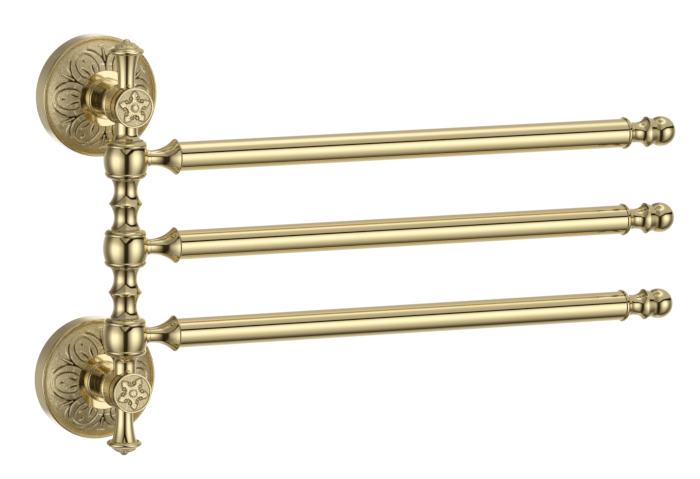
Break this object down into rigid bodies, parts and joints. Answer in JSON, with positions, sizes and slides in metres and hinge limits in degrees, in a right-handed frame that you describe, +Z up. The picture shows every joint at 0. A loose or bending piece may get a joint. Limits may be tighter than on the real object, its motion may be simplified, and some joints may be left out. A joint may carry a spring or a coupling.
{
  "type": "swing arm towel bar",
  "caption": "Wall-mounted towel bar in pale gold brass: slim tubular arms swing on an upright rod held between two posts on round relief-carved rosettes.",
  "frame": {"origin": "on the wall plane, midway between the two rosettes, behind the upright rod", "axes": "+X along the wall towards the arms' free ends at rest, +Y into the wall, +Z up along the upright rod"},
  "size_m": [0.3602, 0.0609, 0.2268],
  "materials": {
    "turned_brass": "polished pale champagne gold, lacquered",
    "tube_brass": "drawn tube, polished pale champagne gold, lacquered",
    "relief_brass": "cast relief with a matte blasted ground and polished rims, pale champagne gold",
    "bracket_steel": "zinc-plated pressed steel",
    "screw_steel": "zinc-plated socket screw steel",
    "rod_steel": "drawn bright steel",
    "nylon": "natural nylon"
  },
  "bodies": {
    "stand": {"wall_bracket_upper": "bracket_steel", "wall_bracket_lower": "bracket_steel", "rosette_upper": "relief_brass", "rosette_lower": "relief_brass", "rosette_set_screw_upper": "screw_steel", "rosette_set_screw_lower": "screw_steel", "post_upper": "turned_brass", "post_lower": "turned_brass", "post_bolt_upper": "screw_steel", "post_bolt_lower": "screw_steel", "post_bolt_washer_upper": "screw_steel", "post_bolt_washer_lower": "screw_steel", "medallion_upper": "relief_brass", "medallion_lower": "relief_brass", "sleeve_upper": "turned_brass", "sleeve_lower": "turned_brass", "spacer_upper": "turned_brass", "spacer_lower": "turned_brass", "finial_upper": "turned_brass", "finial_lower": "turned_brass", "finial_cap_upper": "relief_brass", "finial_cap_lower": "relief_brass", "main_rod": "rod_steel", "thrust_washers_upper": "nylon", "thrust_washers_middle": "nylon", "thrust_washers_lower": "nylon"},
    "arm_upper": {"barrel_upper": "turned_brass", "barrel_bush_upper": "nylon", "trumpet_upper": "turned_brass", "arm_tube_upper": "tube_brass", "tube_plug_upper": "turned_brass", "end_collar_upper": "turned_brass", "end_finial_upper": "turned_brass"},
    "arm_middle": {"barrel_middle": "turned_brass", "barrel_bush_middle": "nylon", "trumpet_middle": "turned_brass", "arm_tube_middle": "tube_brass", "tube_plug_middle": "turned_brass", "end_collar_middle": "turned_brass", "end_finial_middle": "turned_brass"},
    "arm_lower": {"barrel_lower": "turned_brass", "barrel_bush_lower": "nylon", "trumpet_lower": "turned_brass", "arm_tube_lower": "tube_brass", "tube_plug_lower": "turned_brass", "end_collar_lower": "turned_brass", "end_finial_lower": "turned_brass"}
  },
  "joints": [
    {"name": "arm_upper_swing", "type": "hinge", "parent": "stand", "child": "arm_upper", "pos_m": [0, -0.0485, 0.0482], "axis": [0, 0, -1], "range_deg": [-7, 187]},
    {"name": "arm_middle_swing", "type": "hinge", "parent": "stand", "child": "arm_middle", "pos_m": [0, -0.0485, 0], "axis": [0, 0, -1], "range_deg": [-7, 187]},
    {"name": "arm_lower_swing", "type": "hinge", "parent": "stand", "child": "arm_lower", "pos_m": [0, -0.0485, -0.0482], "axis": [0, 0, -1], "range_deg": [-7, 187]}
  ]
}
